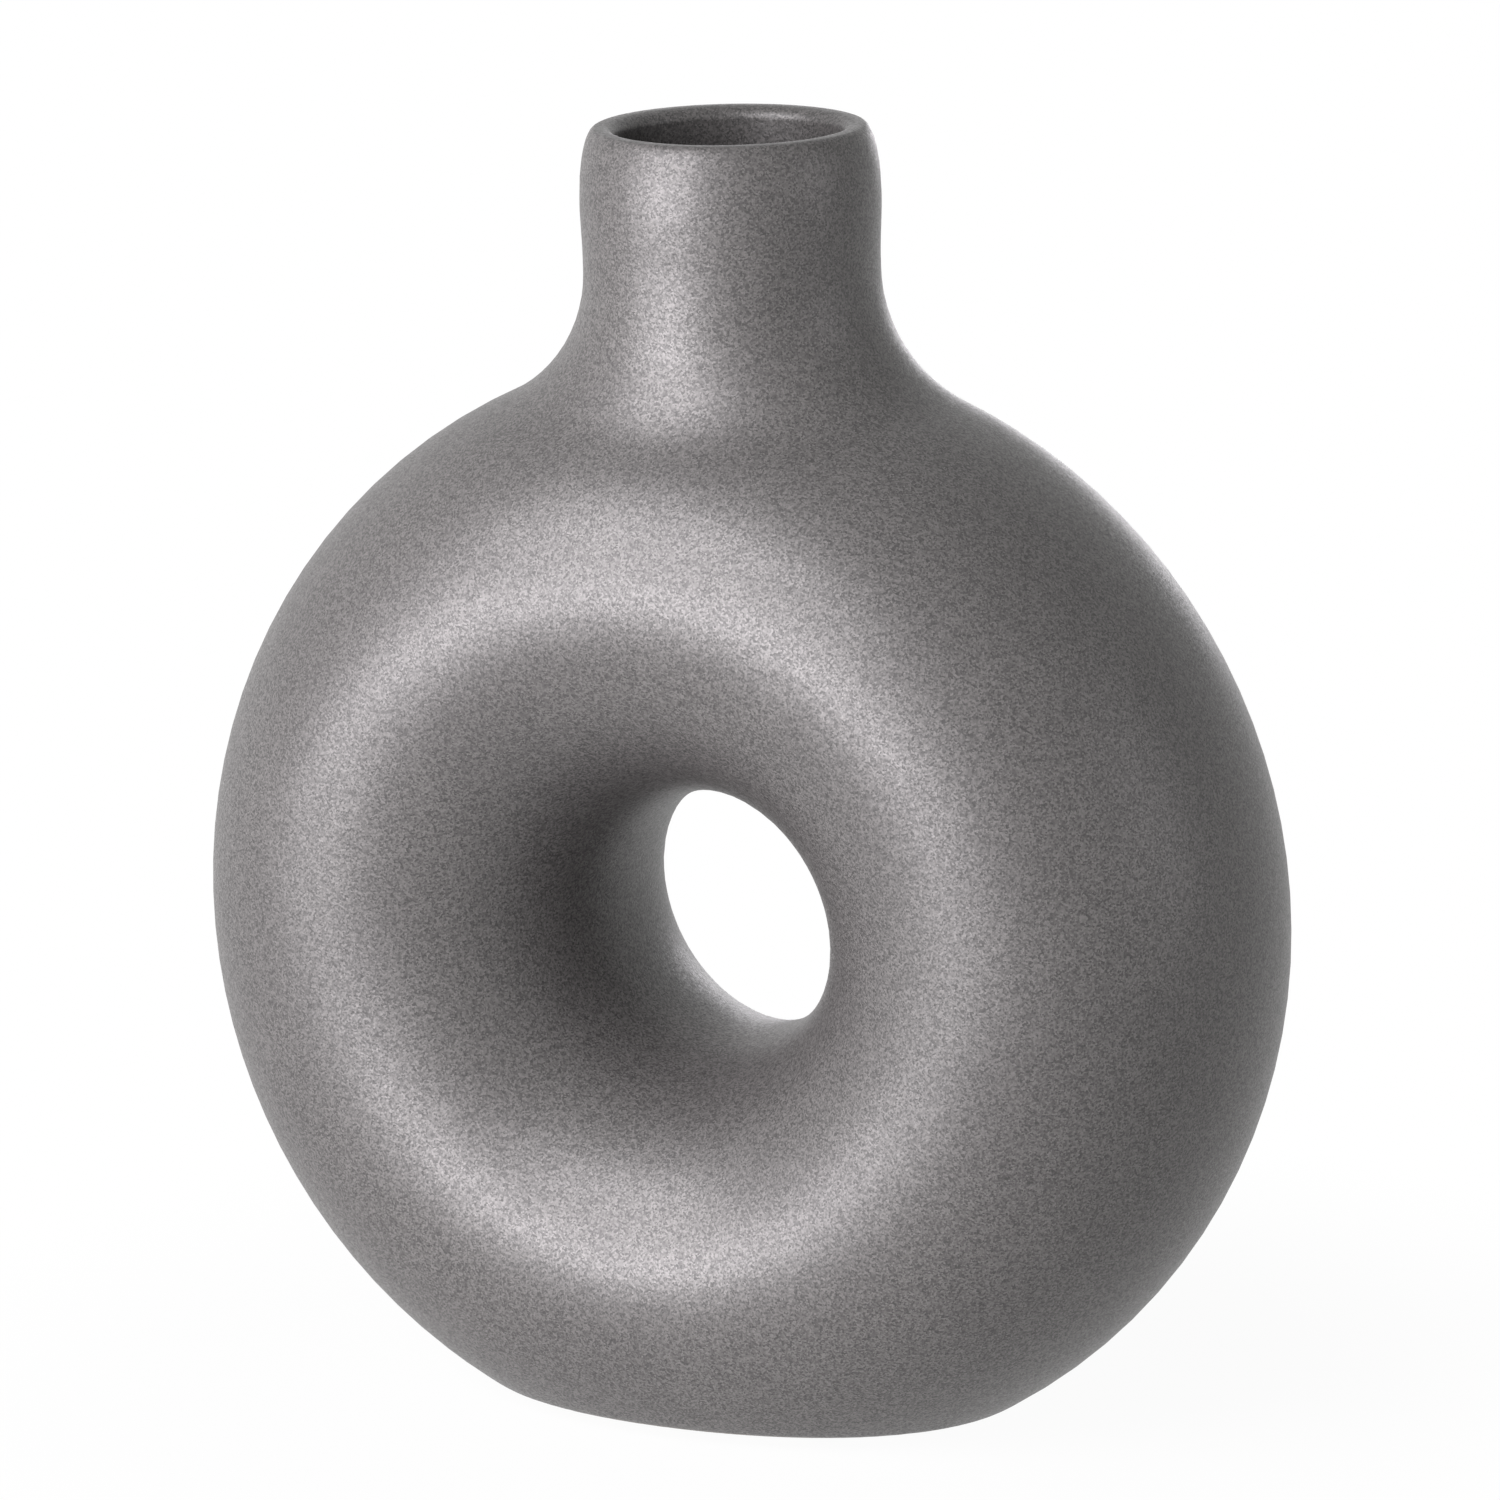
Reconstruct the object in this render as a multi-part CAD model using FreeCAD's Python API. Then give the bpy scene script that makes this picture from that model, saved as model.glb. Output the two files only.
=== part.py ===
import FreeCAD, Part
import math
import os

os.makedirs("parts", exist_ok=True)

Vector = FreeCAD.Vector

# Frame: millimetres, +Z up. The ring stands on edge in the XZ plane with its axis along Y, and
# its front looks along -Y. The origin is on the table, straight under the middle of the mouth.

# Ring
ring_outer_radius = 87.5      # centre of the ring to its outermost line
section_half_height = 34.0    # half of the ring's oval section, measured away from the ring's centre
section_half_depth = 40.0     # half of the ring's oval section, measured front to back
foot_cut_depth = 11.2         # how much of the ring's bottom is flattened away
foot_rounding = 6.0           # edge between the ring and its flat foot

# Neck and lip
neck_height = 34.6            # top of the ring to top of the lip
neck_waist_radius = 22.7      # outside of the neck at its narrowest
waist_height = 0.4            # straight stretch of the waist, above the blend with the ring
junction_radius = 24.0        # blend between the neck and the ring
lip_radius = 23.0             # outside of the lip at its widest
shoulder_below_top = 11.0     # where the outside of the lip starts to round over
shoulder_share = 0.46         # part of the lip's thickness that the outer rounding takes
mouth_share = 0.35            # part of the lip's thickness that the inner rounding takes

# Walls and coats
clay_wall = 4.6
glaze_thickness = 0.4
cavity_rounding = 5.0         # where the floor of the hollow meets its sides
glaze_run_inside = 14.0       # how far the outer glaze runs down inside the neck

# Foot and pads
dry_foot_height = 0.4         # bare clay standing proud of the glaze
dry_foot_margin = 3.5         # edge of the flattened ring to the edge of the bare clay
pad_thickness = 1.2
pad_radius = 4.5
pad_edge_rounding = 0.3
pad_length_share = 0.60       # place of the pads along the dry foot's half length
pad_width_share = 0.38        # place of the pads along the dry foot's half width

# Working values
overrun = 5.0                 # how far a cutting solid runs past what it cuts
contact_tolerance = 0.01      # a point this near to two surfaces lies on their common edge

# Levels
dry_foot_level = pad_thickness
foot_level = dry_foot_level + dry_foot_height
ring_centre_level = foot_level + ring_outer_radius - foot_cut_depth
section_centre_radius = ring_outer_radius - section_half_height
neck_root_level = ring_centre_level + section_centre_radius
top_level = ring_centre_level + ring_outer_radius + neck_height
blend_centre_distance = neck_waist_radius + junction_radius
blend_rise = math.sqrt((ring_outer_radius + junction_radius) ** 2 - blend_centre_distance ** 2)
waist_level = ring_centre_level + blend_rise + waist_height
shoulder_level = top_level - shoulder_below_top
glaze_joint_level = top_level - glaze_run_inside

# Depths below the glazed outside at which the clay starts and ends, and the whole wall
clay_start = glaze_thickness
clay_end = clay_start + clay_wall
wall = clay_end + glaze_thickness

# Lip, from the outside in: the shoulder, a nearly flat crest and the inner rounding
bore_radius = neck_waist_radius - wall
lip_thickness = lip_radius - bore_radius
shoulder_width = lip_thickness * shoulder_share
mouth_rounding = lip_thickness * mouth_share
crest_radius = lip_radius - shoulder_width

# Oval that the foot's plane cuts from the ring, and the oval of bare clay inside it
foot_half_length = math.sqrt(ring_outer_radius ** 2 - (ring_outer_radius - foot_cut_depth) ** 2)
foot_height_share = 1 - foot_cut_depth / section_half_height
foot_half_width = section_half_depth * math.sqrt(1 - foot_height_share ** 2)
dry_foot_half_length = foot_half_length - dry_foot_margin
dry_foot_half_width = foot_half_width - dry_foot_margin


def revolved(edges, centre, axis):
    """Solid that a closed outline sweeps out in one full turn, with its faces pointing out."""
    face = Part.Face(Part.Wire([edge.toShape() for edge in edges]))
    solid = face.revolve(centre, axis, 360)
    if solid.Volume < 0:
        solid.reverse()
    return solid


def ellipse(centre, first, second):
    """Ellipse through the ends of its two half axes, given as vectors from its centre."""
    longer, shorter = sorted([first, second], key=lambda half_axis: half_axis.Length, reverse=True)
    return Part.Ellipse(centre + longer, centre + shorter, centre)


def ring(inset):
    """Whole ring, with its surface set in all round by the inset.

    Its oval section is drawn as two halves that meet at the front and at the back of the ring.
    """
    centre = Vector(section_centre_radius, 0, ring_centre_level)
    half_height = Vector(section_half_height - inset, 0, 0)
    half_depth = Vector(0, section_half_depth - inset, 0)
    section = ellipse(centre, half_height, half_depth)
    front = section.parameter(centre - half_depth)
    halves = [Part.ArcOfEllipse(section, front, front + math.pi)]
    halves += [Part.ArcOfEllipse(section, front + math.pi, front + 2 * math.pi)]
    return revolved(halves, Vector(0, 0, ring_centre_level), Vector(0, 1, 0))


def side_arcs(low, high):
    """Two arcs from the waist out to the lip, upright at both ends and meeting half way."""
    half_rise = (high.z - low.z) / 2
    half_step = (high.x - low.x) / 2
    radius = (half_rise ** 2 + half_step ** 2) / (2 * half_step)
    half_turn = math.asin(half_rise / radius) / 2
    bulge = Vector(radius * (1 - math.cos(half_turn)), 0, radius * math.sin(half_turn))
    middle = (low + high) * 0.5
    return [Part.Arc(low, low + bulge, middle), Part.Arc(middle, high - bulge, high)]


def outer_neck(inset):
    """Solid neck with the rounded shoulder of the lip, its surface set in by the inset."""
    root = Vector(neck_waist_radius - inset, 0, neck_root_level)
    waist = Vector(root.x, 0, waist_level)
    side = Vector(lip_radius - inset, 0, shoulder_level)
    shoulder_centre = Vector(crest_radius, 0, shoulder_level)
    crest = Vector(crest_radius, 0, top_level - inset)
    shoulder = ellipse(shoulder_centre, side - shoulder_centre, crest - shoulder_centre)
    axis_top = Vector(0, 0, crest.z)
    axis_root = Vector(0, 0, root.z)
    outline = [Part.LineSegment(axis_root, root), Part.LineSegment(root, waist)]
    outline += side_arcs(waist, side)
    outline += [Part.ArcOfEllipse(shoulder, 0, math.pi / 2)]
    outline += [Part.LineSegment(crest, axis_top), Part.LineSegment(axis_top, axis_root)]
    return revolved(outline, Vector(0, 0, 0), Vector(0, 0, 1))


def bore(inset):
    """Space inside the neck, flared by the lip's inner rounding and running out of the top."""
    glaze = wall - inset
    rounding = mouth_rounding - glaze
    root = Vector(neck_waist_radius - inset, 0, neck_root_level)
    mouth_centre = Vector(bore_radius + mouth_rounding, 0, top_level - mouth_rounding)
    low = Vector(root.x, 0, mouth_centre.z)
    between = mouth_centre + Vector(-rounding, 0, rounding) * math.sqrt(0.5)
    high = mouth_centre + Vector(0, 0, rounding)
    above = Vector(high.x, 0, top_level + overrun)
    axis_above = Vector(0, 0, above.z)
    axis_root = Vector(0, 0, root.z)
    outline = [Part.LineSegment(axis_root, root), Part.LineSegment(root, low)]
    outline += [Part.Arc(low, between, high), Part.LineSegment(high, above)]
    outline += [Part.LineSegment(above, axis_above), Part.LineSegment(axis_above, axis_root)]
    return revolved(outline, Vector(0, 0, 0), Vector(0, 0, 1))


def touches(point, shell):
    return shell.distToShape(Part.Vertex(point))[0] < contact_tolerance


def blended(ring_solid, neck_solid, radius):
    """Ring and neck as one solid, with the edge where they meet rounded out."""
    joined = ring_solid.fuse(neck_solid).Solids[0]
    meeting_edges = []
    for edge in joined.Edges:
        middle = edge.valueAt((edge.FirstParameter + edge.LastParameter) / 2)
        if touches(middle, ring_solid.Shells[0]) and touches(middle, neck_solid.Shells[0]):
            meeting_edges.append(edge)
    return joined.makeFillet(radius, meeting_edges)


def below(level):
    """Block that takes in everything under a level."""
    reach = ring_outer_radius + overrun
    bottom = -foot_cut_depth - overrun
    return Part.makeBox(2 * reach, 2 * reach, level - bottom, Vector(-reach, -reach, bottom))


def flattened(solid, level, rounding):
    """The solid cut off flat at a level, with the edge of the cut rounded."""
    cut = solid.cut(below(level))
    rim = []
    for edge in cut.Edges:
        box = edge.BoundBox
        if max(abs(box.ZMin - level), abs(box.ZMax - level)) < contact_tolerance:
            rim.append(edge)
    return cut.makeFillet(rounding, rim)


def outer_form(inset):
    """The vase as if it were solid, its surface set in by the inset."""
    solid = blended(ring(inset), outer_neck(inset), junction_radius + inset)
    return flattened(solid, foot_level + inset, foot_rounding - inset)


def hollow(inset):
    """The space inside the vase, starting at the inset below the glazed outside."""
    solid = blended(ring(inset), bore(inset), junction_radius + inset)
    return flattened(solid, foot_level + inset, cavity_rounding - (inset - clay_end))


def dry_foot():
    """Oval of bare clay that stands proud of the glaze and reaches half way into the wall."""
    centre = Vector(0, 0, dry_foot_level)
    half_length = Vector(dry_foot_half_length, 0, 0)
    half_width = Vector(0, dry_foot_half_width, 0)
    outline = ellipse(centre, half_length, half_width)
    height = dry_foot_height + clay_start + clay_wall / 2
    return Part.Face(Part.Wire([outline.toShape()])).extrude(Vector(0, 0, height))


def stoneware_body(clay_outside, clay_inside, foot):
    return clay_outside.fuse(foot).cut(clay_inside)


def liner_glaze(clay_inside, inside):
    """Coat inside the hollow, up to where the outer glaze ends in the neck."""
    return clay_inside.common(below(glaze_joint_level)).cut(inside)


def outer_glaze(outside, clay_outside, clay_inside, inside, foot):
    """Coat over the outside and the lip, and a little way down inside the neck."""
    coat = outside.cut(clay_outside).cut(foot).cut(inside)
    neck_space = clay_inside.cut(below(glaze_joint_level)).common(below(top_level - glaze_thickness))
    return coat.fuse(neck_space.cut(inside))


def foot_pad(length_side, width_side):
    """Felt dot under the dry foot, with its lower edge worn round."""
    x = length_side * dry_foot_half_length * pad_length_share
    y = width_side * dry_foot_half_width * pad_width_share
    disc = Part.makeCylinder(pad_radius, pad_thickness, Vector(x, y, 0))
    lower_edges = [edge for edge in disc.Edges if edge.BoundBox.ZMax < contact_tolerance]
    return disc.makeFillet(pad_edge_rounding, lower_edges)


def main():
    outside = outer_form(0)
    clay_outside = outer_form(clay_start)
    clay_inside = hollow(clay_end)
    inside = hollow(wall)
    foot = dry_foot()
    pieces = {
        "stoneware_body": stoneware_body(clay_outside, clay_inside, foot),
        "outer_glaze": outer_glaze(outside, clay_outside, clay_inside, inside, foot),
        "liner_glaze": liner_glaze(clay_inside, inside),
        "foot_pad_front_left": foot_pad(-1, -1),
        "foot_pad_front_right": foot_pad(1, -1),
        "foot_pad_rear_left": foot_pad(-1, 1),
        "foot_pad_rear_right": foot_pad(1, 1),
    }
    for name, shape in pieces.items():
        shape.exportStep("parts/" + name + ".step")
        print(name, len(shape.Solids), "solid,", round(shape.Volume), "mm3, valid", shape.isValid())


main()
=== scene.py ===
"""Looks of a ring-shaped stoneware vase with a matt metallic glaze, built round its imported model.

The vase stands on four felt dots. Lengths are in metres, +Z is up, the through hole runs along Y
and the front looks along -Y.
"""

import logging
import math
from dataclasses import dataclass, field
from enum import Enum

import bmesh
import bpy
import numpy as np
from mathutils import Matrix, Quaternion, Vector

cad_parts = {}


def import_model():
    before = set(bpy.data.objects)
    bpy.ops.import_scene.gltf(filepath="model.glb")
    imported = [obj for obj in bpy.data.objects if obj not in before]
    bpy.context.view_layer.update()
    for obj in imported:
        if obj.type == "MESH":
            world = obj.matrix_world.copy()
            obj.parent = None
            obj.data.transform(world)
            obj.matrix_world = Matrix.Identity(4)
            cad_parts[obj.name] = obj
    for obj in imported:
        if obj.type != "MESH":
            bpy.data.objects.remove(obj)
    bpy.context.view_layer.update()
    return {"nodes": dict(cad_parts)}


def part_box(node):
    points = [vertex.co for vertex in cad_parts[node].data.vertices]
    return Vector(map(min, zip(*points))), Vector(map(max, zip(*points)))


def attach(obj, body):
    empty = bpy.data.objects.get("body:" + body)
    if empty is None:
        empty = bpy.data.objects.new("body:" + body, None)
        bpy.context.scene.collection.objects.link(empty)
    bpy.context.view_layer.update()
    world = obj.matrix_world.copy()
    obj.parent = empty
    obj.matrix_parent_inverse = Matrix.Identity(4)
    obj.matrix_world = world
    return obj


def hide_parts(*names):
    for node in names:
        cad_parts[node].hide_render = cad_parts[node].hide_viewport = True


LOG = logging.getLogger("donut_vase")

WHITE = (1.0, 1.0, 1.0)
MIDDLE = 0.5  # the middle of what noise and random cells give

Colour = tuple[float, float, float]
Point = tuple[float, float, float]
Span = tuple[float, float]
Number = "float | Value"


class Value:
    """A number that varies over a surface, taken from a node's socket."""

    def __init__(self, tree: "Tree", socket: bpy.types.NodeSocket) -> None:
        """Keeps the socket and the tree that it belongs to."""
        self.tree = tree
        self.socket = socket

    def math(self, operation: str, other: Number) -> "Value":
        """Adds a Math node with this value first and the other one after it."""
        inputs = {0: self, 1: other}
        return self.tree.add("ShaderNodeMath", {"operation": operation}, inputs).value("Value")

    def __add__(self, other: Number) -> "Value":
        """Sum."""
        return self.math("ADD", other)

    def __sub__(self, other: Number) -> "Value":
        """Difference."""
        return self.math("SUBTRACT", other)

    def __mul__(self, other: Number) -> "Value":
        """Product."""
        return self.math("MULTIPLY", other)

    def highest(self, other: Number) -> "Value":
        """The greater of the two values."""
        return self.math("MAXIMUM", other)

    def ramp(self, start: float, end: float) -> "Value":
        """Runs smoothly from 0 at the start to 1 at the end, and stays level beyond them."""
        node = self.tree.add(
            "ShaderNodeMapRange",
            {"interpolation_type": "SMOOTHSTEP"},
            {"Value": self, "From Min": start, "From Max": end},
        )
        return node.value("Result")


class Triple:
    """A vector or colour that varies over a surface, taken from a node's socket."""

    def __init__(self, tree: "Tree", socket: bpy.types.NodeSocket) -> None:
        """Keeps the socket and the tree that it belongs to."""
        self.tree = tree
        self.socket = socket

    def math(self, operation: str, *others: object) -> "NodeResult":
        """Adds a Vector Math node with this vector first and the others after it."""
        inputs = dict(enumerate((self, *others)))
        return self.tree.add("ShaderNodeVectorMath", {"operation": operation}, inputs)

    def __add__(self, other: object) -> "Triple":
        """Sum."""
        return self.math("ADD", other).triple("Vector")

    def __mul__(self, other: object) -> "Triple":
        """Product with another vector, or with a number."""
        if isinstance(other, (Triple, tuple)):
            return self.math("MULTIPLY", other).triple("Vector")
        node = self.tree.add(
            "ShaderNodeVectorMath", {"operation": "SCALE"}, {0: self, "Scale": other}
        )
        return node.triple("Vector")

    def length(self) -> Value:
        """Length of the vector."""
        return self.math("LENGTH").value("Value")

    def unit(self) -> "Triple":
        """The vector at a length of 1."""
        return self.math("NORMALIZE").triple("Vector")

    def part(self, axis: str) -> Value:
        """The X, Y or Z part of the vector."""
        return self.tree.add("ShaderNodeSeparateXYZ", {}, {"Vector": self}).value(axis)


class NodeResult:
    """A node that was added to a tree, and what comes out of it."""

    def __init__(self, tree: "Tree", node: bpy.types.Node) -> None:
        """Keeps the node and its tree."""
        self.tree = tree
        self.node = node

    def socket(self, name: str) -> bpy.types.NodeSocket:
        """The output with that identifier or name."""
        return find_socket(self.node.outputs, name)

    def value(self, name: str) -> Value:
        """An output that is a number."""
        return Value(self.tree, self.socket(name))

    def triple(self, name: str) -> Triple:
        """An output that is a vector or a colour."""
        return Triple(self.tree, self.socket(name))


def find_socket(sockets: bpy.types.bpy_prop_collection, key: int | str) -> bpy.types.NodeSocket:
    """Finds one of a node's sockets.

    Args:
        sockets: The node's inputs or outputs.
        key: The socket's place, identifier or name.

    Returns:
        The socket.
    """
    if isinstance(key, int):
        return sockets[key]
    for socket in sockets:
        if socket.identifier == key and socket.enabled:
            return socket
    return next(socket for socket in sockets if socket.name == key and socket.enabled)


class Tree:
    """A node tree under construction, for a material, a world or a modifier."""

    def __init__(self, nodes: bpy.types.NodeTree) -> None:
        """Starts with an empty tree."""
        self.nodes = nodes
        self.nodes.nodes.clear()

    def add(
        self, kind: str, settings: dict[str, object], inputs: dict[int | str, object]
    ) -> NodeResult:
        """Adds a node.

        Args:
            kind: The node's type.
            settings: The node's own settings, such as its operation, which are set first.
            inputs: What each input holds: a number, a colour, or a link from another node.

        Returns:
            The node, from which its outputs are read.
        """
        node = self.nodes.nodes.new(kind)
        for name, setting in settings.items():
            setattr(node, name, setting)
        for key, held in inputs.items():
            socket = find_socket(node.inputs, key)
            if isinstance(held, (Value, Triple)):
                self.nodes.links.new(held.socket, socket)
            elif isinstance(held, bpy.types.NodeSocket):
                self.nodes.links.new(held, socket)
            else:
                socket.default_value = fitted(held, socket)
        return NodeResult(self, node)

    def mix(self, factor: Number, start: object, end: object) -> Triple:
        """Colour that goes from the start to the end as the factor goes from 0 to 1."""
        inputs = {"Factor_Float": factor, "A_Color": start, "B_Color": end}
        return self.add("ShaderNodeMix", {"data_type": "RGBA"}, inputs).triple("Result_Color")

    def bump(self, height: Value) -> Triple:
        """Normal of a surface that is raised by the height, in metres."""
        inputs = {"Height": height, "Distance": 1.0, "Strength": 1.0}
        return self.add("ShaderNodeBump", {}, inputs).triple("Normal")

    def cells(self, place: Triple, size: float) -> NodeResult:
        """Random cells of about the given size, each with a colour of its own."""
        return self.add("ShaderNodeTexVoronoi", {}, {"Vector": place, "Scale": 1 / size})

    def noise(
        self, place: Triple, size: float, detail: float = 2.0, roughness: float = 0.5
    ) -> Value:
        """Noise whose features are about as far apart as the size.

        Args:
            place: Where the noise is read, in metres.
            size: Distance from feature to feature, in metres.
            detail: Number of finer layers.
            roughness: Strength of the finer layers.

        Returns:
            A number about 0.5.
        """
        inputs = {"Vector": place, "Scale": 1 / size, "Detail": detail, "Roughness": roughness}
        return self.add("ShaderNodeTexNoise", {}, inputs).value("Fac")

    def object_place(self) -> Triple:
        """Place in the object's own coordinates, in metres."""
        return self.add("ShaderNodeTexCoord", {}, {}).triple("Object")


def fitted(held: object, socket: bpy.types.NodeSocket) -> object:
    """Gives a colour its fourth part where the socket wants one."""
    if isinstance(held, tuple) and len(held) == 3 and socket.type == "RGBA":
        return (*held, 1.0)
    return held


class Finish:
    """A surface finish. Each kind of finish fills in the paint method."""

    name: str

    def paint(self, tree: Tree) -> NodeResult:
        """Adds the finish's shader and returns its last node."""
        raise NotImplementedError

    def material(self) -> bpy.types.Material:
        """Builds the material."""
        made = bpy.data.materials.new(self.name)
        made.use_nodes = True
        tree = Tree(made.node_tree)
        shader = self.paint(tree)
        tree.add("ShaderNodeOutputMaterial", {}, {"Surface": shader.node.outputs[0]})
        return made


@dataclass(frozen=True)
class MattMetallicGlaze(Finish):
    """Matt glaze with a fine metallic grain, which breaks brown where it ends at the foot.

    Each grain leans its own way, which makes the glaze sparkle. Each fleck has its own darkness.
    """

    name: str = "matt_glaze_finish"
    shade: Colour = (0.144, 0.138, 0.134)
    pale_shade: Colour = (0.157, 0.151, 0.146)
    pit_shade: Colour = (0.038, 0.037, 0.036)
    edge_shade: Colour = (0.15, 0.10, 0.065)
    metallic: float = 0.25
    roughness: float = 0.43
    roughness_spread: float = 0.06
    grain_size: float = 0.00028
    grain_tilt: float = 0.105
    fleck_size: float = 0.00027
    fleck_share: float = 0.92
    fleck_shift: Point = (0.013, 0.007, 0.029)
    peel_size: float = 0.0011
    peel_height: float = 0.000016
    cloud_size: float = 0.026
    cloud_range: Span = (0.35, 0.65)
    foot_half_length: float = 0.0428
    foot_half_width: float = 0.0297
    edge_level: float = 0.0035
    edge_range: Span = (1.05, 0.93)
    edge_wobble_size: float = 0.004
    edge_wobble: float = 0.06

    def paint(self, tree: Tree) -> NodeResult:
        """Adds the glaze's shader and returns its last node."""
        place = tree.object_place()
        grain = tree.cells(place, self.grain_size).triple("Color")
        fleck = tree.cells(place + self.fleck_shift, self.fleck_size).triple("Color").part("X")
        peel = tree.noise(place, self.peel_size, detail=2.0)
        cloud = tree.noise(place, self.cloud_size, detail=3.0)
        colour = tree.mix(cloud.ramp(*self.cloud_range), self.shade, self.pale_shade)
        colour = tree.mix(fleck * self.fleck_share, colour, self.pit_shade)
        colour = tree.mix(self.thin_edge(tree, place), colour, self.edge_shade)
        tilt = (grain + (-MIDDLE, -MIDDLE, -MIDDLE)) * self.grain_tilt
        return tree.add(
            "ShaderNodeBsdfPrincipled",
            {},
            {
                "Base Color": colour,
                "Metallic": self.metallic,
                "Roughness": (fleck - MIDDLE) * self.roughness_spread + self.roughness,
                "Normal": (tree.bump(peel * self.peel_height) + tilt).unit(),
            },
        )

    def thin_edge(self, tree: Tree, place: Triple) -> Value:
        """How much the clay shows through the thin rim of glaze round the dry foot."""
        scale = (1 / self.foot_half_length, 1 / self.foot_half_width, 0.0)
        wobble = (tree.noise(place, self.edge_wobble_size) - MIDDLE) * self.edge_wobble
        near = ((place * scale).length() + wobble).ramp(*self.edge_range)
        low = place.part("Z").ramp(self.edge_level, self.edge_level / 2)
        return near * low


@dataclass(frozen=True)
class SatinLinerGlaze(Finish):
    """Smooth dark glaze inside the vase."""

    name: str = "satin_liner_finish"
    shade: Colour = (0.060, 0.056, 0.056)
    pale_shade: Colour = (0.085, 0.080, 0.080)
    roughness: float = 0.34
    roughness_spread: float = 0.1
    ripple_size: float = 0.006
    ripple_height: float = 0.00006
    ripple_range: Span = (0.35, 0.65)

    def paint(self, tree: Tree) -> NodeResult:
        """Adds the liner's shader and returns its last node."""
        place = tree.object_place()
        ripple = tree.noise(place, self.ripple_size, detail=2.0)
        colour = tree.mix(ripple.ramp(*self.ripple_range), self.shade, self.pale_shade)
        return tree.add(
            "ShaderNodeBsdfPrincipled",
            {},
            {
                "Base Color": colour,
                "Roughness": (ripple - MIDDLE) * self.roughness_spread + self.roughness,
                "Normal": tree.bump(ripple * self.ripple_height),
            },
        )


@dataclass(frozen=True)
class BareStoneware(Finish):
    """Unglazed fired clay with grog and iron specks."""

    name: str = "bare_stoneware"
    shade: Colour = (0.36, 0.27, 0.20)
    pale_shade: Colour = (0.50, 0.40, 0.31)
    speck_shade: Colour = (0.10, 0.06, 0.04)
    roughness: float = 0.88
    roughness_spread: float = 0.1
    mottle_size: float = 0.009
    mottle_range: Span = (0.3, 0.7)
    grit_size: float = 0.0005
    grit_height: float = 0.00008
    grit_range: Span = (0.5, 0.3)
    grit_share: float = 0.4
    speck_spacing: float = 0.0016
    speck_share: float = 0.22
    speck_patches: Span = (0.45, 0.55)

    def paint(self, tree: Tree) -> NodeResult:
        """Adds the clay's shader and returns its last node."""
        place = tree.object_place()
        mottle = tree.noise(place, self.mottle_size, detail=4.0, roughness=0.6)
        grit = tree.noise(place, self.grit_size, detail=2.0, roughness=0.7)
        specks = tree.cells(place, self.speck_spacing).value("Distance")
        speck = specks.ramp(self.speck_share, self.speck_share / 2)
        colour = tree.mix(mottle.ramp(*self.mottle_range), self.shade, self.pale_shade)
        colour = tree.mix(grit.ramp(*self.grit_range) * self.grit_share, colour, self.shade)
        patches = mottle.ramp(*self.speck_patches)
        colour = tree.mix(speck * patches, colour, self.speck_shade)
        return tree.add(
            "ShaderNodeBsdfPrincipled",
            {},
            {
                "Base Color": colour,
                "Roughness": (grit - MIDDLE) * self.roughness_spread + self.roughness,
                "Normal": tree.bump(grit * self.grit_height),
            },
        )


@dataclass(frozen=True)
class PressedFelt(Finish):
    """Pressed wool felt, charcoal with paler strands."""

    name: str = "pressed_felt"
    shade: Colour = (0.022, 0.022, 0.024)
    pale_shade: Colour = (0.075, 0.074, 0.078)
    roughness: float = 0.95
    sheen: float = 0.35
    strand_size: float = 0.0004
    strand_height: float = 0.0001
    matted_size: float = 0.0016
    strand_share: float = 0.6
    matted_share: float = 0.4
    wool_range: Span = (0.4, 0.65)

    def paint(self, tree: Tree) -> NodeResult:
        """Adds the felt's shader and returns its last node."""
        place = tree.object_place()
        matted = tree.noise(place, self.matted_size, detail=3.0)
        strand = tree.noise(place, self.strand_size, detail=3.0, roughness=0.7)
        wool = strand * self.strand_share + matted * self.matted_share
        colour = tree.mix(wool.ramp(*self.wool_range), self.shade, self.pale_shade)
        return tree.add(
            "ShaderNodeBsdfPrincipled",
            {},
            {
                "Base Color": colour,
                "Roughness": self.roughness,
                "Sheen Weight": self.sheen,
                "Normal": tree.bump(strand * self.strand_height),
            },
        )


@dataclass(frozen=True)
class PaleFloor(Finish):
    """Pale matt floor, seen as white apart from a faint shadow, and open from underneath.

    The shadow fades out between the shadow's reach and the reach from which all is white.
    """

    name: str = "pale_floor"
    shade: Colour = (0.90, 0.90, 0.90)
    white_share: float = 0.96
    shadow_reach: float = 0.07
    white_reach: float = 0.17

    def paint(self, tree: Tree) -> NodeResult:
        """Adds the floor's shader and returns its last node."""
        plain = tree.add("ShaderNodeBsdfDiffuse", {}, {"Color": self.shade})
        white = tree.add("ShaderNodeEmission", {}, {"Color": WHITE, "Strength": 1.0})
        away = tree.object_place().length().ramp(self.shadow_reach, self.white_reach)
        seen = seen_directly(tree) * (away * (1 - self.white_share) + self.white_share)
        lit = mixed_shaders(tree, seen, plain, white)
        under = tree.add("ShaderNodeNewGeometry", {}, {}).value("Backfacing")
        open_side = tree.add("ShaderNodeBsdfTransparent", {}, {})
        return mixed_shaders(tree, under, lit, open_side)


def seen_directly(tree: Tree) -> Value:
    """1 for what the camera sees itself, in a gloss or through glass, and otherwise 0."""
    ray = tree.add("ShaderNodeLightPath", {}, {})
    seen = ray.value("Is Camera Ray").highest(ray.value("Is Glossy Ray"))
    return seen.highest(ray.value("Is Transmission Ray"))


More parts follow.
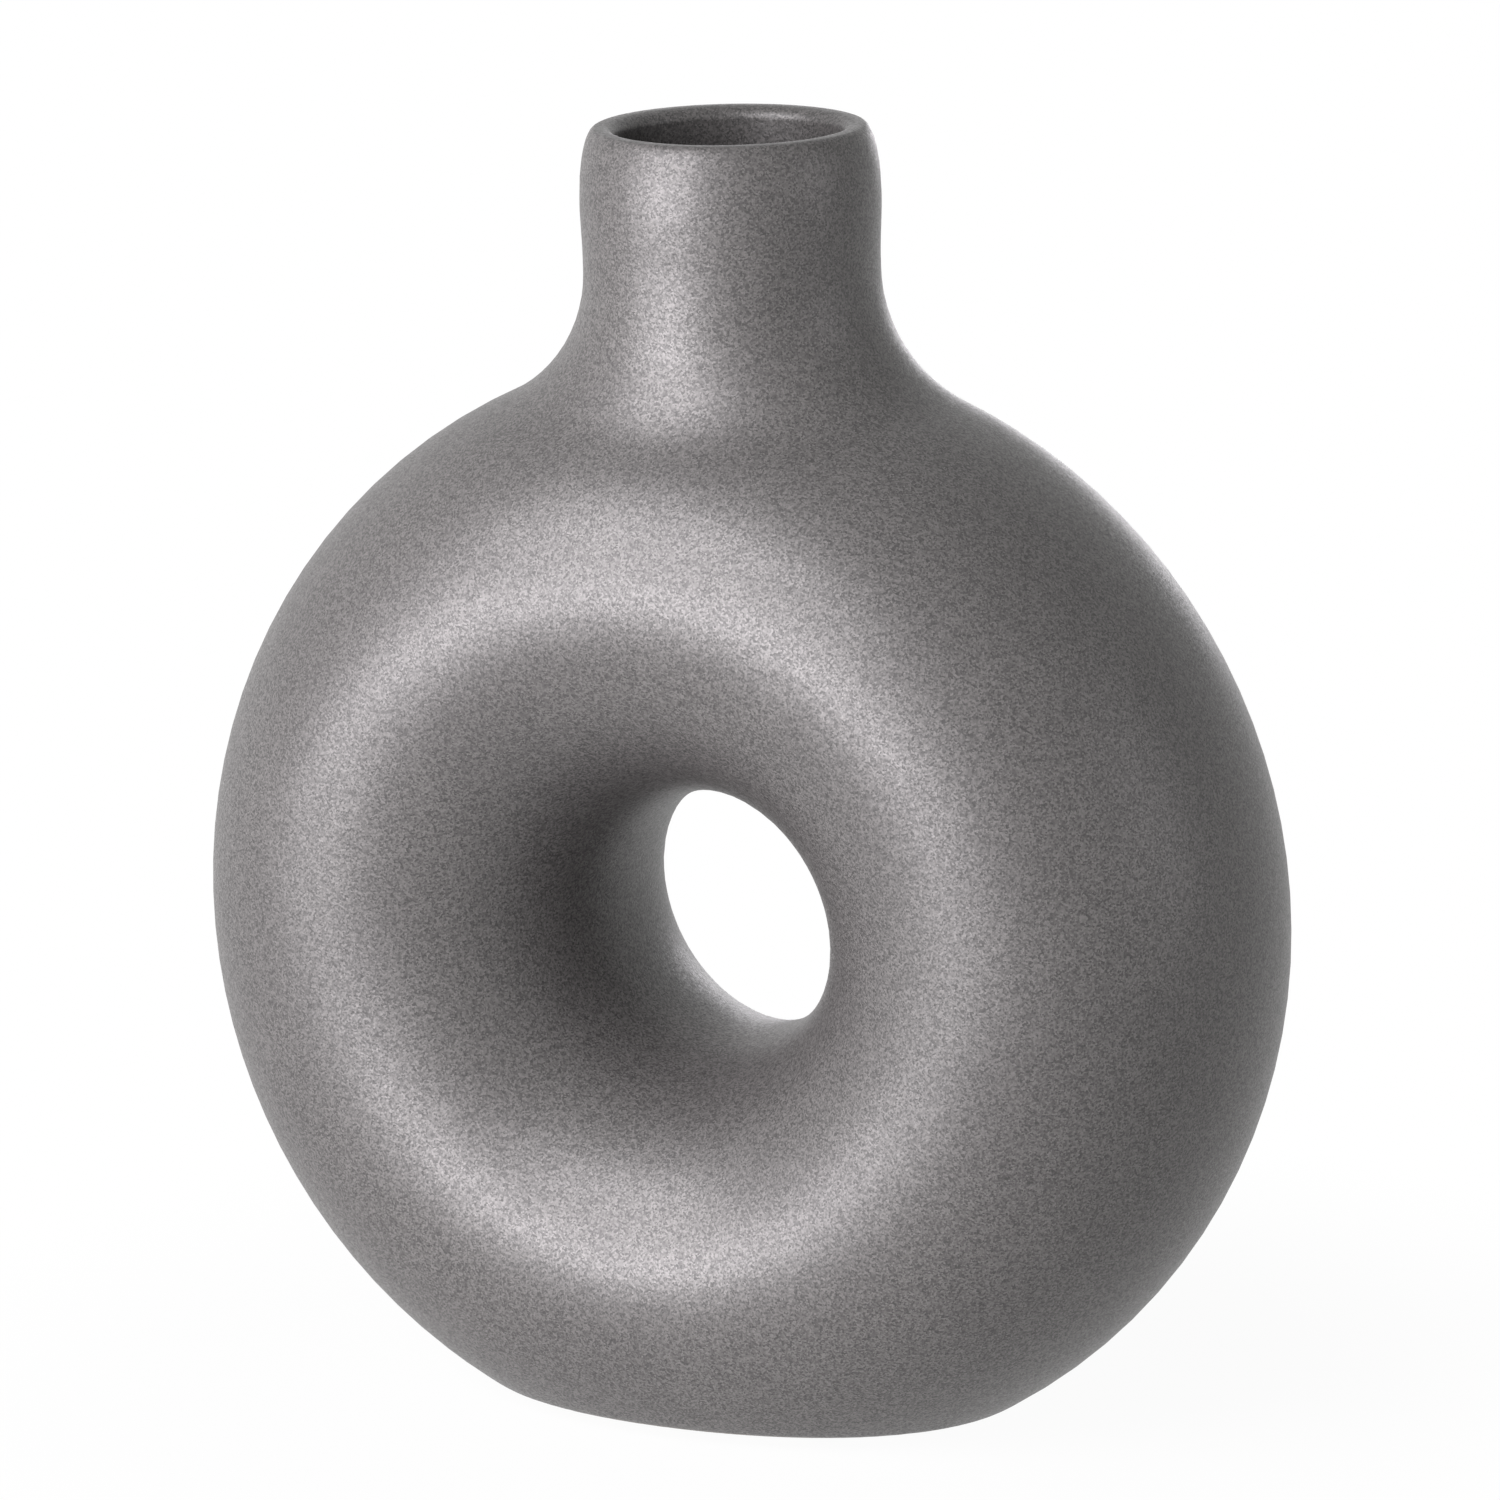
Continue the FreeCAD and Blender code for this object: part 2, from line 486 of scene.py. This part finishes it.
def mixed_shaders(tree: Tree, factor: Value, first: NodeResult, second: NodeResult) -> NodeResult:
    """Mix Shader of two shaders, the second showing where the factor is 1."""
    inputs = {0: factor, 1: first.node.outputs[0], 2: second.node.outputs[0]}
    return tree.add("ShaderNodeMixShader", {}, inputs)


@dataclass(frozen=True)
class Studio:
    """The pale floor, the white surround and the lamps."""

    floor_reach: float = 6.0
    floor: PaleFloor = PaleFloor()

    def build(self) -> None:
        """Builds the floor, the surround and the lamps."""
        self.lay_floor()
        self.light_surround()
        for lamp in self.lamps():
            lamp.build()

    def lay_floor(self) -> None:
        """Lays the floor at the level that the vase stands on."""
        reach = self.floor_reach
        corners = [(-reach, -reach, 0), (reach, -reach, 0), (reach, reach, 0), (-reach, reach, 0)]
        mesh = bpy.data.meshes.new("studio_floor")
        mesh.from_pydata(corners, [], [(0, 1, 2, 3)])
        mesh.materials.append(self.floor.material())
        piece = bpy.data.objects.new("studio_floor", mesh)
        bpy.context.scene.collection.objects.link(piece)

    def light_surround(self) -> None:
        """Makes the world white to the camera and in gloss, and dark otherwise."""
        world = bpy.data.worlds.new("studio_surround")
        world.use_nodes = True
        bpy.context.scene.world = world
        tree = Tree(world.node_tree)
        inputs = {"Color": WHITE, "Strength": seen_directly(tree)}
        shader = tree.add("ShaderNodeBackground", {}, inputs)
        tree.add("ShaderNodeOutputWorld", {}, {"Surface": shader.node.outputs[0]})

    def lamps(self) -> list["Softbox"]:
        """Two keys at the upper left, three low lamps, a rim light and a light at the back."""
        return [
            Softbox("key_high", Place(-25.0, 38.0), width=0.90, height=0.40, radiance=10.3),
            Softbox("key_middle", Place(-24.0, 19.0), width=0.90, height=0.35, radiance=5.6),
            Softbox("low_left", Place(-41.0, 1.0), width=0.45, height=0.20, radiance=17.0),
            Softbox("low_middle", Place(-19.0, 1.0), width=0.45, height=0.20, radiance=30.0),
            Softbox("low_right", Place(4.0, 1.0), width=0.45, height=0.20, radiance=5.0),
            Softbox("rim_right", Place(95.0, 12.0), width=0.45, height=0.60, radiance=1.7),
            Softbox("back", Place(-167.0, 3.0), width=0.60, height=0.20, radiance=4.0),
        ]


@dataclass(frozen=True)
class Place:
    """Where a lamp stands, as seen from the vase, in degrees.

    The azimuth is 0 in front of the vase and 90 at its right.
    """

    azimuth: float
    elevation: float

    def direction(self) -> Vector:
        """Direction from the vase to the place."""
        turn, tilt = math.radians(self.azimuth), math.radians(self.elevation)
        level = math.cos(tilt)
        return Vector((math.sin(turn) * level, -math.cos(turn) * level, math.sin(tilt)))


@dataclass(frozen=True)
class Softbox:
    """A lamp with an even rectangular face that looks at the vase.

    The radiance is that of the face, with 1 for the white of the surround.
    """

    name: str
    place: Place
    width: float
    height: float
    radiance: float
    distance: float = 1.2
    tint: Colour = (0.99, 0.96, 1.0)
    aim: Point = (0.0, 0.0, 0.09)

    def build(self) -> None:
        """Builds the lamp in its place."""
        light = bpy.data.lights.new(self.name, "AREA")
        light.shape = "RECTANGLE"
        light.size = self.width
        light.size_y = self.height
        light.energy = self.radiance * math.pi * self.width * self.height
        light.color = self.tint
        outwards = self.place.direction()
        lamp = bpy.data.objects.new(self.name, light)
        lamp.location = Vector(self.aim) + outwards * self.distance
        lamp.rotation_euler = (-outwards).to_track_quat("-Z", "Y").to_euler()
        lamp.visible_camera = False
        bpy.context.scene.collection.objects.link(lamp)


@dataclass(frozen=True)
class PhotoCamera:
    """The camera at the photograph's place, its lens and sensor in millimetres."""

    place: Point = (0.61997, -1.25386, 0.42509)
    aim: Point = (0.00133, 0.0, 0.10276)
    roll: float = -1.199
    lens: float = 223.64
    sensor: float = 36.0
    near: float = 0.05
    far: float = 50.0

    def build(self) -> None:
        """Builds the camera and makes it the scene's own."""
        camera = bpy.data.cameras.new("photo_camera")
        camera.lens = self.lens
        camera.sensor_width = self.sensor
        camera.clip_start = self.near
        camera.clip_end = self.far
        holder = bpy.data.objects.new("photo_camera", camera)
        holder.location = self.place
        level = (Vector(self.aim) - Vector(self.place)).to_track_quat("-Z", "Y")
        holder.rotation_mode = "QUATERNION"
        holder.rotation_quaternion = level @ Quaternion((0, 0, 1), math.radians(self.roll))
        bpy.context.scene.collection.objects.link(holder)
        bpy.context.scene.camera = holder


class Layer(Enum):
    """The layers of the fired vase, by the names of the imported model's nodes."""

    CLAY = "stoneware_body"
    COAT = "outer_glaze"
    LINER = "liner_glaze"


@dataclass
class FiredVessel:
    """The fired vase: the clay and the glazes on it."""

    glaze: MattMetallicGlaze = field(default_factory=MattMetallicGlaze)
    liner: SatinLinerGlaze = field(default_factory=SatinLinerGlaze)
    clay: BareStoneware = field(default_factory=BareStoneware)
    merge_distance: float = 0.000002
    sharp_angle: float = math.radians(35)

    def build(self, nodes: dict[str, bpy.types.Object]) -> None:
        """Gives each coat and the clay its finish, with one even skin on the coats.

        Args:
            nodes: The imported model's nodes by name.
        """
        self.dress(nodes[Layer.CLAY.value], self.clay)
        coat = self.even_skin(nodes[Layer.COAT.value], "fired_coat")
        self.dress(coat, self.glaze)
        liner = self.even_skin(nodes[Layer.LINER.value], "fired_liner")
        self.dress(liner, self.liner)

    def dress(self, piece: bpy.types.Object, finish: Finish) -> None:
        """Gives a layer its finish.

        Args:
            piece: The layer.
            finish: What it is finished with.
        """
        piece.data.materials.clear()
        piece.data.materials.append(finish.material())
        LOG.info("%s dressed as %s, %d faces", piece.name, finish.name, len(piece.data.polygons))

    def even_skin(self, node: bpy.types.Object, name: str) -> bpy.types.Object:
        """Copies a node with its loose triangles joined, so that no seam shows in the gloss.

        Args:
            node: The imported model's node, which the copy stands for.
            name: The copy's name.

        Returns:
            The copy.
        """
        mesh = bpy.data.meshes.new(name)
        skin = bmesh.new()
        skin.from_mesh(node.data)
        bmesh.ops.remove_doubles(skin, verts=skin.verts, dist=self.merge_distance)
        bmesh.ops.dissolve_degenerate(skin, edges=skin.edges, dist=self.merge_distance / 2)
        skin.to_mesh(mesh)
        skin.free()
        for attribute in [item for item in mesh.attributes if item.name == "custom_normal"]:
            mesh.attributes.remove(attribute)
        mesh.shade_smooth()
        mesh.set_sharp_from_angle(angle=self.sharp_angle)
        copy = bpy.data.objects.new(name, mesh)
        bpy.context.scene.collection.objects.link(copy)
        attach(copy, "root")
        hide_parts(node.name)
        return copy


@dataclass(frozen=True)
class FeltFibres:
    """Short wool strands that stand out of pressed felt."""

    count: int = 900
    length: float = 0.0011
    thickness: float = 0.00005
    lean: float = 1.1
    least_scale: float = 0.4
    middle_aside: float = 0.15
    middle_above: float = 0.7
    end_aside: float = 0.5
    seed: int = 7

    def tree(self) -> bpy.types.NodeTree:
        """Builds the modifier's tree, which scatters strands over the felt it is given.

        Returns:
            A tree with the inputs Geometry, Density, Strand Length, Strand Thickness, Lean, Seed
            and Finish.
        """
        group = bpy.data.node_groups.new("felt_fibres", "GeometryNodeTree")
        for name, kind in (
            ("Geometry", "NodeSocketGeometry"),
            ("Density", "NodeSocketFloat"),
            ("Strand Length", "NodeSocketFloat"),
            ("Strand Thickness", "NodeSocketFloat"),
            ("Lean", "NodeSocketFloat"),
            ("Seed", "NodeSocketInt"),
            ("Finish", "NodeSocketMaterial"),
        ):
            group.interface.new_socket(name, in_out="INPUT", socket_type=kind)
        group.interface.new_socket("Geometry", in_out="OUTPUT", socket_type="NodeSocketGeometry")
        tree = Tree(group)
        given = tree.add("NodeGroupInput", {}, {})
        felt = given.socket("Geometry")
        scattered = tree.add(
            "GeometryNodeDistributePointsOnFaces",
            {"distribute_method": "RANDOM"},
            {"Mesh": felt, "Density": given.socket("Density"), "Seed": given.socket("Seed")},
        )
        strand = self.strand(tree, given)
        tilt = tree.add(
            "FunctionNodeRandomValue",
            {"data_type": "FLOAT_VECTOR"},
            {"Min": (-1.0, -1.0, -1.0), "Max": (1.0, 1.0, 1.0), "Seed": given.socket("Seed")},
        )
        aside = tilt.triple("Value") * given.value("Lean")
        way = scattered.triple("Normal") + aside
        turned = tree.add("FunctionNodeAlignRotationToVector", {"axis": "Z"}, {"Vector": way})
        size = tree.add(
            "FunctionNodeRandomValue",
            {"data_type": "FLOAT"},
            {"Min_001": self.least_scale, "Max_001": 1.0, "Seed": given.socket("Seed")},
        )
        placed = tree.add(
            "GeometryNodeInstanceOnPoints",
            {},
            {
                "Points": scattered.socket("Points"),
                "Instance": strand,
                "Rotation": turned.socket("Rotation"),
                "Scale": size.socket("Value_001"),
            },
        )
        joined = tree.add("GeometryNodeJoinGeometry", {}, {"Geometry": felt})
        tree.nodes.links.new(placed.socket("Instances"), joined.node.inputs["Geometry"])
        inputs = {"Geometry": joined.socket("Geometry")}
        real = tree.add("GeometryNodeRealizeInstances", {}, inputs)
        dressed = tree.add(
            "GeometryNodeSetMaterial",
            {},
            {"Geometry": real.socket("Geometry"), "Material": given.socket("Finish")},
        )
        tree.add("NodeGroupOutput", {}, {"Geometry": dressed.socket("Geometry")})
        return group

    def strand(self, tree: Tree, given: NodeResult) -> bpy.types.NodeSocket:
        """One strand: a three-sided hair, bent over, that stands on the origin.

        Args:
            tree: The modifier's tree.
            given: The tree's inputs.

        Returns:
            The socket that gives the strand's mesh.
        """
        length = given.value("Strand Length")
        middle = self.point_above(tree, length * self.middle_aside, length * self.middle_above)
        curve = tree.add(
            "GeometryNodeCurveQuadraticBezier",
            {},
            {
                "Resolution": 3,
                "Start": (0.0, 0.0, 0.0),
                "Middle": middle,
                "End": self.point_above(tree, length * self.end_aside, length),
            },
        )
        profile = tree.add(
            "GeometryNodeCurvePrimitiveCircle",
            {},
            {"Resolution": 3, "Radius": given.socket("Strand Thickness")},
        )
        hair = tree.add(
            "GeometryNodeCurveToMesh",
            {},
            {
                "Curve": curve.socket("Curve"),
                "Profile Curve": profile.socket("Curve"),
                "Fill Caps": True,
            },
        )
        return hair.socket("Mesh")

    def point_above(self, tree: Tree, aside: Value, above: Value) -> Triple:
        """A point that far aside along X and that far up."""
        return tree.add("ShaderNodeCombineXYZ", {}, {"X": aside, "Z": above}).triple("Vector")


@dataclass
class FeltPads:
    """The four felt dots under the dry foot."""

    ring_steps: int = 48
    rounding_steps: int = 4
    edge_rounding: float = 0.00030
    bulge: float = 0.00012
    ripple: float = 0.00006
    broad_waves: int = 5
    narrow_waves: int = 11
    rings: tuple[float, ...] = (0.25, 0.5, 0.75, 0.92)
    finish: PressedFelt = field(default_factory=PressedFelt)
    fibres: FeltFibres = field(default_factory=FeltFibres)

    def build(self, nodes: dict[str, bpy.types.Object]) -> None:
        """Builds a pad in the place of each plain one.

        Args:
            nodes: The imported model's nodes by name.
        """
        material = self.finish.material()
        tree = self.fibres.tree()
        names = sorted(name for name in nodes if name.startswith("foot_pad_"))
        for number, name in enumerate(names):
            low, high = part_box(name)
            pad = self.disc("felt_" + name, low, high, number)
            self.add_fibres(pad, tree, material, number)
            self.press_flat(pad.data, low.z, high.z)
            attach(pad, "root")
            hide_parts(name)
            LOG.info("%s built with %d faces", pad.name, len(pad.data.polygons))

    def disc(self, name: str, low: Vector, high: Vector, number: int) -> bpy.types.Object:
        """Builds a felt disc with a worn lower edge and a slightly uneven rim.

        Args:
            name: The object's name.
            low: The lowest corner of the plain pad.
            high: The highest corner of the plain pad.
            number: The pad's number, which sets its unevenness.

        Returns:
            The disc, with its place in its mesh.
        """
        centre = (low + high) / 2
        radius = (high.x - low.x) / 2 - self.bulge
        outline = self.outline(radius, low.z, high.z)
        steps = self.ring_steps
        points, faces = [(centre.x, centre.y, low.z)], []
        for reach, level in outline:
            for step in range(steps):
                angle = math.tau * step / steps
                out = reach * (1 + self.ripple / radius * self.unevenness(angle, number))
                points.append(
                    (centre.x + out * math.cos(angle), centre.y + out * math.sin(angle), level)
                )
        points.append((centre.x, centre.y, high.z))
        last = len(points) - 1
        for step in range(steps):
            after = (step + 1) % steps
            faces.append((0, 1 + after, 1 + step))
            for ring in range(len(outline) - 1):
                start = 1 + ring * steps
                faces.append(
                    (start + step, start + after, start + steps + after, start + steps + step)
                )
            top = 1 + (len(outline) - 1) * steps
            faces.append((top + step, top + after, last))
        mesh = bpy.data.meshes.new(name)
        mesh.from_pydata(points, [], faces)
        mesh.shade_smooth()
        pad = bpy.data.objects.new(name, mesh)
        bpy.context.scene.collection.objects.link(pad)
        return pad

    def unevenness(self, angle: float, number: int) -> float:
        """How far the rim of that pad stands out at the angle, from about -1.5 to 1.5."""
        broad = math.sin(self.broad_waves * angle + number)
        return broad + math.sin(self.narrow_waves * angle + 2 * number) / 2

    def outline(self, radius: float, bottom: float, top: float) -> list[Span]:
        """Half section of the pad, from the middle of its underside round to the top.

        Args:
            radius: Radius of the pad's straight side.
            bottom: Level of the underside.
            top: Level of the top.

        Returns:
            Distances from the axis, and levels.
        """
        rounding = self.edge_rounding
        points = [(radius * share, bottom) for share in self.rings]
        for step in range(self.rounding_steps + 1):
            angle = step / self.rounding_steps * math.pi / 2
            points.append(
                (
                    radius - rounding + rounding * math.sin(angle),
                    bottom + rounding - rounding * math.cos(angle),
                )
            )
        middle = (bottom + rounding + top) / 2
        points.append((radius + self.bulge, middle))
        points.append((radius, top))
        points += [(radius * share, top) for share in reversed(self.rings)]
        return points

    def add_fibres(
        self,
        pad: bpy.types.Object,
        tree: bpy.types.NodeTree,
        material: bpy.types.Material,
        number: int,
    ) -> None:
        """Gives a pad its strands and its finish, as a plain mesh.

        Args:
            pad: The felt disc.
            tree: The modifier's tree.
            material: The felt's finish.
            number: The pad's number, added to the seed.
        """
        area = sum(face.area for face in pad.data.polygons)
        held = {
            "Density": self.fibres.count / area,
            "Strand Length": self.fibres.length,
            "Strand Thickness": self.fibres.thickness,
            "Lean": self.fibres.lean,
            "Seed": self.fibres.seed + number,
            "Finish": material,
        }
        apply_nodes(pad, tree, held)

    def press_flat(self, mesh: bpy.types.Mesh, bottom: float, top: float) -> None:
        """Presses the strands that stand out below and above back to the pad's two faces.

        Args:
            mesh: The pad's mesh.
            bottom: Level of the underside.
            top: Level of the top.
        """
        place = np.empty(len(mesh.vertices) * 3, np.float32)
        mesh.vertices.foreach_get("co", place)
        place = place.reshape(-1, 3)
        place[:, 2] = np.clip(place[:, 2], bottom, top)
        mesh.vertices.foreach_set("co", place.ravel())
        mesh.update()


def apply_nodes(
    piece: bpy.types.Object, tree: bpy.types.NodeTree, held: dict[str, object]
) -> None:
    """Runs a piece's mesh through a modifier's tree and keeps the result as its mesh.

    Args:
        piece: The object whose mesh is worked on.
        tree: The modifier's tree.
        held: What each of the tree's named inputs holds.
    """
    modifier = piece.modifiers.new(tree.name, "NODES")
    modifier.node_group = tree
    for item in tree.interface.items_tree:
        if item.item_type == "SOCKET" and item.in_out == "INPUT" and item.name in held:
            modifier[item.identifier] = held[item.name]
    piece.update_tag()
    graph = bpy.context.evaluated_depsgraph_get()
    made = bpy.data.meshes.new_from_object(piece.evaluated_get(graph))
    piece.modifiers.clear()
    plain = piece.data
    made.name = plain.name
    piece.data = made
    bpy.data.meshes.remove(plain)


def main() -> None:
    """Builds the vase's looks, the studio and the camera."""
    logging.basicConfig(level=logging.INFO, format="%(message)s")
    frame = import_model()
    bpy.context.scene.view_settings.view_transform = "Standard"
    PhotoCamera().build()
    Studio().build()
    FiredVessel().build(frame["nodes"])
    FeltPads().build(frame["nodes"])


if __name__ == "__main__":
    main()
